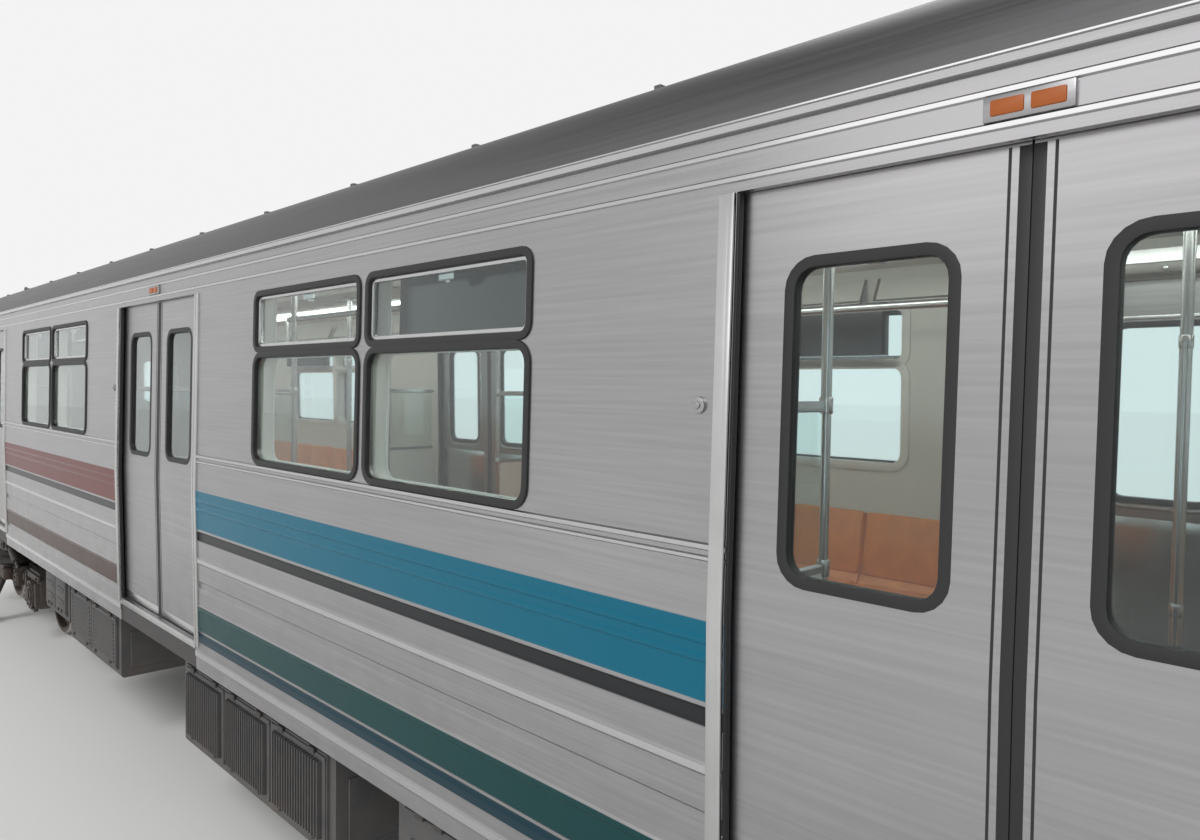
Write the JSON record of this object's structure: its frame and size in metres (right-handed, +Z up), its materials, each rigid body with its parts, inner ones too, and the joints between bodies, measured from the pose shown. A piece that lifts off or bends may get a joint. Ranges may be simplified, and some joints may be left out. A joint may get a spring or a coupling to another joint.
{
  "type": "metro car",
  "caption": "Stainless steel metro car with blue and dark red side bands, a cab at one end, sliding side doors, gangway doors, swivelling trucks and couplers.",
  "frame": {"origin": "under the middle of the car, level with the wheel flanges' lowest points", "axes": "+X lengthwise to the cab end, +Y to the car's left side, +Z up"},
  "size_m": [15.65, 2.84, 3.648],
  "materials": {
    "body_steel": "lengthwise brushed stainless steel with a blue or dark red band",
    "roof_steel": "dull ribbed stainless steel",
    "roof_unit_grey": "satin grey paint",
    "end_steel": "brushed stainless steel",
    "door_steel": "brushed stainless steel",
    "window_glass": "tinted safety glass",
    "lining_cream": "matte cream lining",
    "lamp_lens": "frosted diffuser",
    "seat_plastic": "smooth moulded plastic",
    "grab_steel": "polished steel tube",
    "cab_grey": "satin grey paint",
    "sign_black": "blank black display",
    "equipment_grey": "dark grey paint, dusty",
    "underframe_paint": "black paint, dusty",
    "floor_rubber": "studded dark rubber",
    "coupler_iron": "bare cast iron, greasy",
    "truck_iron": "painted cast steel with brake dust",
    "air_spring_rubber": "matte black rubber",
    "motor_iron": "painted cast iron",
    "collector_fibre": "brown insulating fibre with an iron shoe",
    "wheel_steel": "rolled steel, bright at the tread"
  },
  "bodies": {
    "car_body": {"underframe": "underframe_paint", "floor_deck": "floor_rubber", "side_panels": "body_steel", "cant_rails": "body_steel", "roof_shell": "roof_steel", "roof_air_units": "roof_unit_grey", "end_wall_front": "end_steel", "end_wall_rear": "end_steel", "window_glass": "window_glass", "ceiling_panel": "lining_cream", "lamp_lenses": "lamp_lens", "seats": "seat_plastic", "hand_rails": "grab_steel", "cab_partition": "cab_grey", "cab_desk": "cab_grey", "sign_boxes": "sign_black", "underfloor_boxes": "equipment_grey"},
    "end_door_front": {"end_door_front": "door_steel", "end_door_front_glass": "window_glass"},
    "end_door_rear": {"end_door_rear": "door_steel", "end_door_rear_glass": "window_glass"},
    "cab_door": {"cab_door": "cab_grey"},
    "coupler_front": {"coupler_front": "coupler_iron"},
    "coupler_rear": {"coupler_rear": "coupler_iron"},
    "door_left_rear_fore": {"door_left_rear_fore": "door_steel", "door_left_rear_fore_glass": "window_glass"},
    "door_left_rear_aft": {"door_left_rear_aft": "door_steel", "door_left_rear_aft_glass": "window_glass"},
    "door_left_middle_fore": {"door_left_middle_fore": "door_steel", "door_left_middle_fore_glass": "window_glass"},
    "door_left_middle_aft": {"door_left_middle_aft": "door_steel", "door_left_middle_aft_glass": "window_glass"},
    "door_left_front_fore": {"door_left_front_fore": "door_steel", "door_left_front_fore_glass": "window_glass"},
    "door_left_front_aft": {"door_left_front_aft": "door_steel", "door_left_front_aft_glass": "window_glass"},
    "door_right_rear_fore": {"door_right_rear_fore": "door_steel", "door_right_rear_fore_glass": "window_glass"},
    "door_right_rear_aft": {"door_right_rear_aft": "door_steel", "door_right_rear_aft_glass": "window_glass"},
    "door_right_middle_fore": {"door_right_middle_fore": "door_steel", "door_right_middle_fore_glass": "window_glass"},
    "door_right_middle_aft": {"door_right_middle_aft": "door_steel", "door_right_middle_aft_glass": "window_glass"},
    "door_right_front_fore": {"door_right_front_fore": "door_steel", "door_right_front_fore_glass": "window_glass"},
    "door_right_front_aft": {"door_right_front_aft": "door_steel", "door_right_front_aft_glass": "window_glass"},
    "truck_rear": {"truck_frame_rear": "truck_iron", "air_springs_rear": "air_spring_rubber", "motors_rear": "motor_iron", "collector_gear_rear": "collector_fibre"},
    "wheelset_1": {"wheelset_1": "wheel_steel"},
    "wheelset_2": {"wheelset_2": "wheel_steel"},
    "truck_front": {"truck_frame_front": "truck_iron", "air_springs_front": "air_spring_rubber", "motors_front": "motor_iron", "collector_gear_front": "collector_fibre"},
    "wheelset_3": {"wheelset_3": "wheel_steel"},
    "wheelset_4": {"wheelset_4": "wheel_steel"}
  },
  "joints": [
    {"name": "end_door_front_slide", "type": "slide", "parent": "car_body", "child": "end_door_front", "axis": [0, 1, 0], "range_m": [0, 0.735]},
    {"name": "end_door_rear_slide", "type": "slide", "parent": "car_body", "child": "end_door_rear", "axis": [0, -1, 0], "range_m": [0, 0.735]},
    {"name": "cab_door_hinge", "type": "hinge", "parent": "car_body", "child": "cab_door", "pos_m": [6.195, 0.31, 1.15], "axis": [0, 0, 1], "range_deg": [0, 90]},
    {"name": "coupler_front_swing", "type": "hinge", "parent": "car_body", "child": "coupler_front", "pos_m": [6.95, 0, 0.74], "axis": [0, 0, 1], "range_deg": [-10, 10]},
    {"name": "coupler_rear_swing", "type": "hinge", "parent": "car_body", "child": "coupler_rear", "pos_m": [-6.95, 0, 0.74], "axis": [0, 0, 1], "range_deg": [-10, 10]},
    {"name": "door_left_rear_fore_slide", "type": "slide", "parent": "car_body", "child": "door_left_rear_fore", "axis": [1, 0, 0], "range_m": [0, 0.68]},
    {"name": "door_left_rear_aft_slide", "type": "slide", "parent": "car_body", "child": "door_left_rear_aft", "axis": [-1, 0, 0], "range_m": [0, 0.68]},
    {"name": "door_left_middle_fore_slide", "type": "slide", "parent": "car_body", "child": "door_left_middle_fore", "axis": [1, 0, 0], "range_m": [0, 0.68]},
    {"name": "door_left_middle_aft_slide", "type": "slide", "parent": "car_body", "child": "door_left_middle_aft", "axis": [-1, 0, 0], "range_m": [0, 0.68]},
    {"name": "door_left_front_fore_slide", "type": "slide", "parent": "car_body", "child": "door_left_front_fore", "axis": [1, 0, 0], "range_m": [0, 0.68]},
    {"name": "door_left_front_aft_slide", "type": "slide", "parent": "car_body", "child": "door_left_front_aft", "axis": [-1, 0, 0], "range_m": [0, 0.68]},
    {"name": "door_right_rear_fore_slide", "type": "slide", "parent": "car_body", "child": "door_right_rear_fore", "axis": [1, 0, 0], "range_m": [0, 0.68]},
    {"name": "door_right_rear_aft_slide", "type": "slide", "parent": "car_body", "child": "door_right_rear_aft", "axis": [-1, 0, 0], "range_m": [0, 0.68]},
    {"name": "door_right_middle_fore_slide", "type": "slide", "parent": "car_body", "child": "door_right_middle_fore", "axis": [1, 0, 0], "range_m": [0, 0.68]},
    {"name": "door_right_middle_aft_slide", "type": "slide", "parent": "car_body", "child": "door_right_middle_aft", "axis": [-1, 0, 0], "range_m": [0, 0.68]},
    {"name": "door_right_front_fore_slide", "type": "slide", "parent": "car_body", "child": "door_right_front_fore", "axis": [1, 0, 0], "range_m": [0, 0.68]},
    {"name": "door_right_front_aft_slide", "type": "slide", "parent": "car_body", "child": "door_right_front_aft", "axis": [-1, 0, 0], "range_m": [0, 0.68]},
    {"name": "truck_rear_swivel", "type": "hinge", "parent": "car_body", "child": "truck_rear", "pos_m": [-5.486, 0, 0.9], "axis": [0, 0, 1], "range_deg": [-7, 7]},
    {"name": "wheelset_1_spin", "type": "hinge", "parent": "truck_rear", "child": "wheelset_1", "pos_m": [-6.527, 0, 0.46], "axis": [0, 1, 0], "continuous": true},
    {"name": "wheelset_2_spin", "type": "hinge", "parent": "truck_rear", "child": "wheelset_2", "pos_m": [-4.445, 0, 0.46], "axis": [0, 1, 0], "continuous": true},
    {"name": "truck_front_swivel", "type": "hinge", "parent": "car_body", "child": "truck_front", "pos_m": [5.486, 0, 0.9], "axis": [0, 0, 1], "range_deg": [-7, 7]},
    {"name": "wheelset_3_spin", "type": "hinge", "parent": "truck_front", "child": "wheelset_3", "pos_m": [4.445, 0, 0.46], "axis": [0, 1, 0], "continuous": true},
    {"name": "wheelset_4_spin", "type": "hinge", "parent": "truck_front", "child": "wheelset_4", "pos_m": [6.527, 0, 0.46], "axis": [0, 1, 0], "continuous": true}
  ],
  "couplings": [
    {"joint": "door_left_rear_aft_slide", "follows": "door_left_rear_fore_slide", "ratio": 1},
    {"joint": "door_left_middle_aft_slide", "follows": "door_left_middle_fore_slide", "ratio": 1},
    {"joint": "door_left_front_aft_slide", "follows": "door_left_front_fore_slide", "ratio": 1},
    {"joint": "door_right_rear_aft_slide", "follows": "door_right_rear_fore_slide", "ratio": 1},
    {"joint": "door_right_middle_aft_slide", "follows": "door_right_middle_fore_slide", "ratio": 1},
    {"joint": "door_right_front_aft_slide", "follows": "door_right_front_fore_slide", "ratio": 1}
  ]
}
